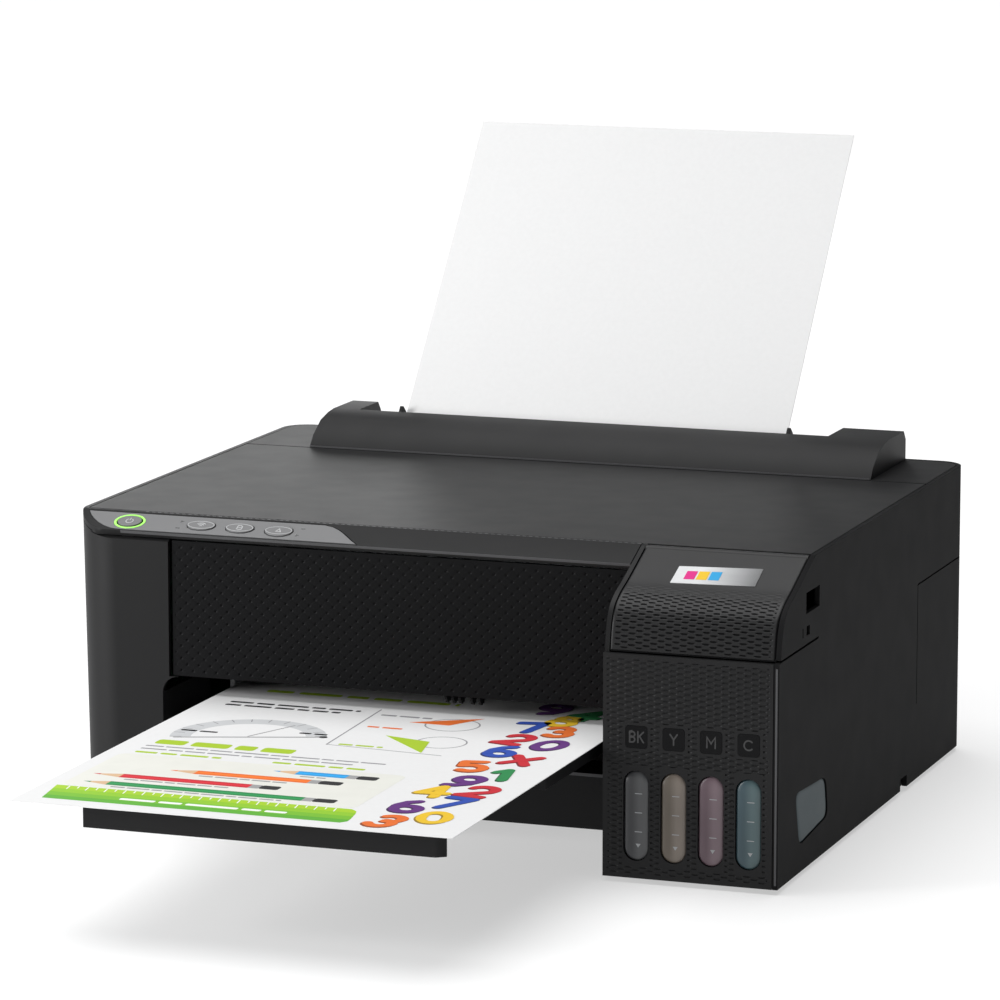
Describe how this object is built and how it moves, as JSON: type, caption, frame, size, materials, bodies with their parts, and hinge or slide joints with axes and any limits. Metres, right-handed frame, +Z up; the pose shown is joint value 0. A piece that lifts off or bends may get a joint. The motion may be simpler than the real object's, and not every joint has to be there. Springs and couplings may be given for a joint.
{
  "type": "inkjet printer",
  "caption": "Compact black ink-tank inkjet printer, its output tray pulled out under a printed sheet and paper loaded in the rear feeder.",
  "frame": {"origin": "middle of the footprint, from the front edge of the printed sheet to the back edge of the loaded sheet, on the surface the feet stand on", "axes": "+Z up, the front faces -Y, +X to the right seen from the front"},
  "size_m": [0.375, 0.62, 0.3066],
  "materials": {
    "case_black": "fine matte texture, dark charcoal",
    "trim_black": "matte black, embossed on the front panel and the tank cover",
    "panel_grey": "satin grey film with light symbols",
    "light_ring": "translucent green light guide",
    "tank_black": "translucent, black ink behind",
    "tank_yellow": "translucent, yellow ink behind",
    "tank_magenta": "translucent, magenta ink behind",
    "tank_cyan": "translucent, cyan ink behind",
    "rubber": "matte",
    "paper": "uncoated paper",
    "steel": "zinc-plated sheet",
    "nylon": "moulded, off-white",
    "tube": "clear flexible tubing",
    "felt": "white absorbent felt",
    "circuit_board": "green solder mask"
  },
  "bodies": {
    "chassis": {"left_housing": "case_black", "right_side_cover": "case_black", "rear_cover": "case_black", "rear_feed_housing": "case_black", "front_bezel": "case_black", "lower_case": "trim_black", "front_panel": "trim_black", "tank_front_cover": "trim_black", "platen": "trim_black", "star_wheel_holder": "trim_black", "capping_station": "trim_black", "power_supply": "trim_black", "ac_inlet": "trim_black", "control_panel": "panel_grey", "power_light_ring": "light_ring", "ink_tank_black": "tank_black", "ink_tank_yellow": "tank_yellow", "ink_tank_magenta": "tank_magenta", "ink_tank_cyan": "tank_cyan", "timing_belt": "rubber", "foot_front_left": "rubber", "foot_front_right": "rubber", "foot_rear_left": "rubber", "foot_rear_right": "rubber", "main_frame": "steel", "carriage_rail": "steel", "carriage_motor": "steel", "feed_motor": "steel", "usb_port": "steel", "encoder_strip": "nylon", "ink_tubes": "tube", "waste_ink_pad": "felt", "main_board": "circuit_board"},
    "printer_cover": {"printer_cover": "case_black"},
    "tank_cover": {"tank_cover": "case_black"},
    "ink_cap_black": {"ink_cap_black": "rubber"},
    "ink_cap_yellow": {"ink_cap_yellow": "rubber"},
    "ink_cap_magenta": {"ink_cap_magenta": "rubber"},
    "ink_cap_cyan": {"ink_cap_cyan": "rubber"},
    "output_tray": {"output_tray": "trim_black"},
    "tray_extension": {"tray_extension": "case_black"},
    "power_button": {"power_button": "panel_grey"},
    "wifi_button": {"wifi_button": "panel_grey"},
    "info_button": {"info_button": "panel_grey"},
    "stop_button": {"stop_button": "panel_grey"},
    "feeder_guard": {"feeder_guard": "trim_black"},
    "edge_guide_left": {"edge_guide_left": "trim_black"},
    "edge_guide_right": {"edge_guide_right": "trim_black"},
    "paper_support": {"paper_support": "trim_black"},
    "loaded_paper": {"loaded_paper": "paper"},
    "printed_sheet": {"printed_sheet": "paper"},
    "print_carriage": {"print_carriage": "trim_black"},
    "belt_pulley_left": {"belt_pulley_left": "nylon"},
    "belt_pulley_motor": {"belt_pulley_motor": "nylon"},
    "feed_roller": {"feed_roller": "steel", "feed_gear": "nylon"},
    "motor_pinion": {"motor_pinion": "nylon"},
    "idler_gear": {"idler_gear": "nylon"},
    "eject_roller": {"eject_roller": "rubber"},
    "pickup_roller": {"pickup_roller": "rubber"}
  },
  "joints": [
    {"name": "printer_cover_hinge", "type": "hinge", "parent": "chassis", "child": "printer_cover", "pos_m": [0, 0.144, 0.148], "axis": [-1, 0, 0], "range_deg": [0, 55]},
    {"name": "tank_cover_hinge", "type": "hinge", "parent": "chassis", "child": "tank_cover", "pos_m": [0.143, -0.0614, 0.1468], "axis": [-1, 0, 0], "range_deg": [0, 80]},
    {"name": "ink_cap_black_pull", "type": "slide", "parent": "chassis", "child": "ink_cap_black", "axis": [0, 0, 1], "range_m": [0, 0.014]},
    {"name": "ink_cap_yellow_pull", "type": "slide", "parent": "chassis", "child": "ink_cap_yellow", "axis": [0, 0, 1], "range_m": [0, 0.014]},
    {"name": "ink_cap_magenta_pull", "type": "slide", "parent": "chassis", "child": "ink_cap_magenta", "axis": [0, 0, 1], "range_m": [0, 0.014]},
    {"name": "ink_cap_cyan_pull", "type": "slide", "parent": "chassis", "child": "ink_cap_cyan", "axis": [0, 0, 1], "range_m": [0, 0.014]},
    {"name": "output_tray_slide", "type": "slide", "parent": "chassis", "child": "output_tray", "axis": [0, 1, 0], "range_m": [0, 0.105]},
    {"name": "tray_extension_slide", "type": "slide", "parent": "output_tray", "child": "tray_extension", "axis": [0, 1, 0], "range_m": [0, 0.119]},
    {"name": "power_button_press", "type": "slide", "parent": "chassis", "child": "power_button", "axis": [0, 0.3827, -0.9239], "range_m": [0, 0.0008], "stiffness_N_per_m": 600},
    {"name": "wifi_button_press", "type": "slide", "parent": "chassis", "child": "wifi_button", "axis": [0, 0.3827, -0.9239], "range_m": [0, 0.0008], "stiffness_N_per_m": 600},
    {"name": "info_button_press", "type": "slide", "parent": "chassis", "child": "info_button", "axis": [0, 0.3827, -0.9239], "range_m": [0, 0.0008], "stiffness_N_per_m": 600},
    {"name": "stop_button_press", "type": "slide", "parent": "chassis", "child": "stop_button", "axis": [0, 0.3827, -0.9239], "range_m": [0, 0.0008], "stiffness_N_per_m": 600},
    {"name": "feeder_guard_hinge", "type": "hinge", "parent": "chassis", "child": "feeder_guard", "pos_m": [-0.006, 0.1786, 0.1601], "axis": [-1, 0, 0], "range_deg": [0, 25]},
    {"name": "edge_guide_left_slide", "type": "slide", "parent": "chassis", "child": "edge_guide_left", "axis": [-1, 0, 0], "range_m": [0, 0.003]},
    {"name": "edge_guide_right_slide", "type": "slide", "parent": "chassis", "child": "edge_guide_right", "axis": [1, 0, 0], "range_m": [0, 0.003]},
    {"name": "paper_support_slide", "type": "slide", "parent": "chassis", "child": "paper_support", "axis": [0, -0.6408, -0.7677], "range_m": [0, 0.076]},
    {"name": "loaded_paper_lift", "type": "slide", "parent": "chassis", "child": "loaded_paper", "axis": [0, 0.6408, 0.7677], "range_m": [0, 0.15]},
    {"name": "printed_sheet_slide", "type": "slide", "parent": "chassis", "child": "printed_sheet", "axis": [0, -1, 0], "range_m": [0, 0.1]},
    {"name": "carriage_slide", "type": "slide", "parent": "chassis", "child": "print_carriage", "axis": [-1, 0, 0], "range_m": [0, 0.235]},
    {"name": "belt_pulley_left_spin", "type": "hinge", "parent": "chassis", "child": "belt_pulley_left", "pos_m": [-0.112, 0.073, 0.0945], "axis": [0, 1, 0], "range_deg": [-5, 1690]},
    {"name": "belt_pulley_motor_spin", "type": "hinge", "parent": "chassis", "child": "belt_pulley_motor", "pos_m": [0.16, 0.073, 0.0945], "axis": [0, 1, 0], "range_deg": [-5, 1690]},
    {"name": "feed_roller_spin", "type": "hinge", "parent": "chassis", "child": "feed_roller", "pos_m": [0, 0.06, 0.071], "axis": [1, 0, 0], "continuous": true},
    {"name": "motor_pinion_spin", "type": "hinge", "parent": "chassis", "child": "motor_pinion", "pos_m": [-0.139, 0.06, 0.04685], "axis": [1, 0, 0], "continuous": true},
    {"name": "idler_gear_spin", "type": "hinge", "parent": "chassis", "child": "idler_gear", "pos_m": [-0.139, 0.02685, 0.07128], "axis": [1, 0, 0], "continuous": true},
    {"name": "eject_roller_spin", "type": "hinge", "parent": "chassis", "child": "eject_roller", "pos_m": [0, 0, 0.0715], "axis": [1, 0, 0], "continuous": true},
    {"name": "pickup_roller_spin", "type": "hinge", "parent": "chassis", "child": "pickup_roller", "pos_m": [0, 0.11935, 0.10331], "axis": [1, 0, 0], "continuous": true}
  ],
  "couplings": [
    {"joint": "edge_guide_right_slide", "follows": "edge_guide_left_slide", "ratio": 1},
    {"joint": "belt_pulley_left_spin", "follows": "carriage_slide", "rad_per_m": 125},
    {"joint": "belt_pulley_motor_spin", "follows": "carriage_slide", "rad_per_m": 125},
    {"joint": "motor_pinion_spin", "follows": "feed_roller_spin", "ratio": -3},
    {"joint": "idler_gear_spin", "follows": "feed_roller_spin", "ratio": -1.2},
    {"joint": "eject_roller_spin", "follows": "feed_roller_spin", "ratio": 1.5}
  ]
}
